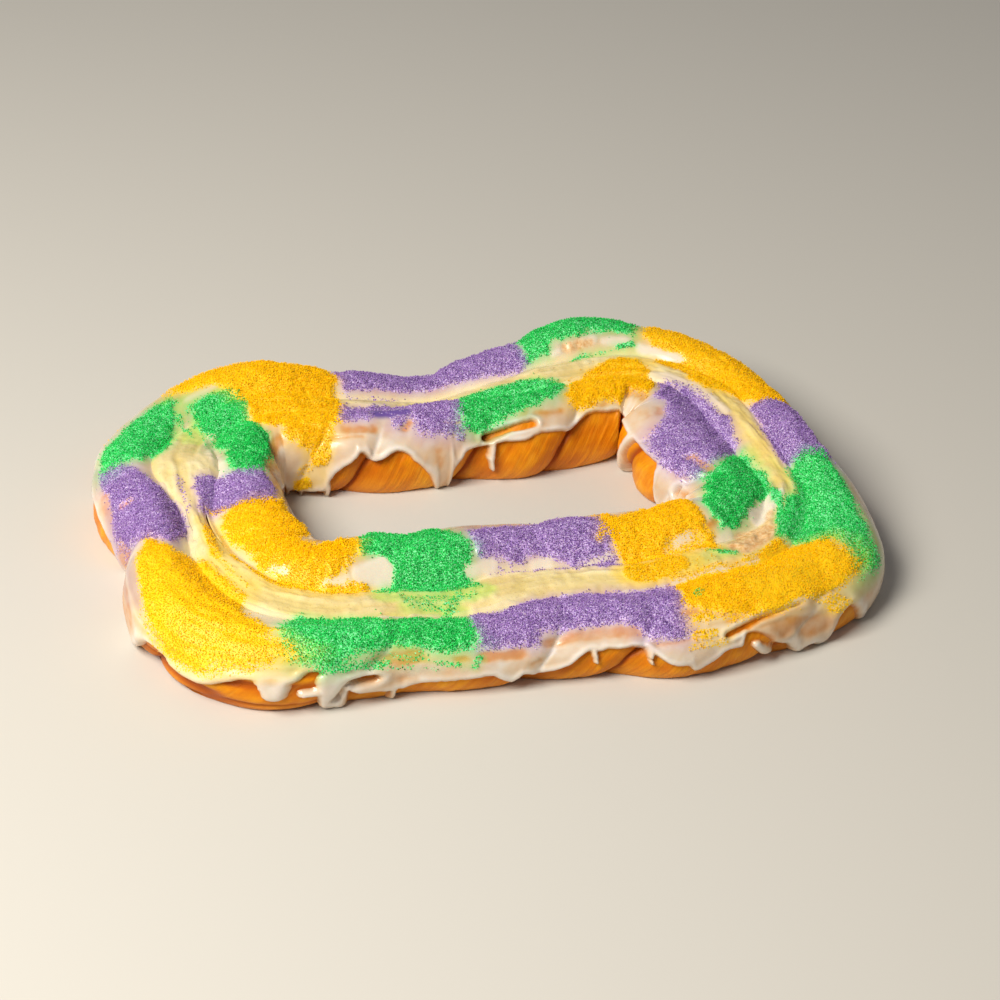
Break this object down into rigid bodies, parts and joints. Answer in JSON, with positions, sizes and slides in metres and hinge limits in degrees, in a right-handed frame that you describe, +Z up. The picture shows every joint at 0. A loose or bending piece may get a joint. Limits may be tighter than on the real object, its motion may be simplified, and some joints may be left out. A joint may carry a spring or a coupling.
{
  "type": "king cake",
  "caption": "Twisted dough ring laid out as a rounded rectangle, with cream along its top, poured icing down both sides and bands of coarse coloured sugar.",
  "frame": {"origin": "middle of the cake's footprint, on the surface that it rests on", "axes": "+X along the long legs to the right, +Y from the front leg to the back leg, +Z up"},
  "size_m": [0.4469, 0.3526, 0.0565],
  "materials": {
    "crust": "golden brown baked dough, satin, darker in the folds",
    "cream": "soft pale yellow cream, satin, with ridges",
    "icing": "thin white poured icing, glossy, the crust shows through where it is thin",
    "sugar_purple": "coarse purple sugar, sparkling grains",
    "sugar_green": "coarse green sugar, sparkling grains",
    "sugar_gold": "coarse gold sugar, sparkling grains"
  },
  "bodies": {
    "root": {"dough_ring": "crust", "cream_filling": "cream", "icing_outer": "icing", "icing_inner": "icing"}
  },
  "joints": []
}
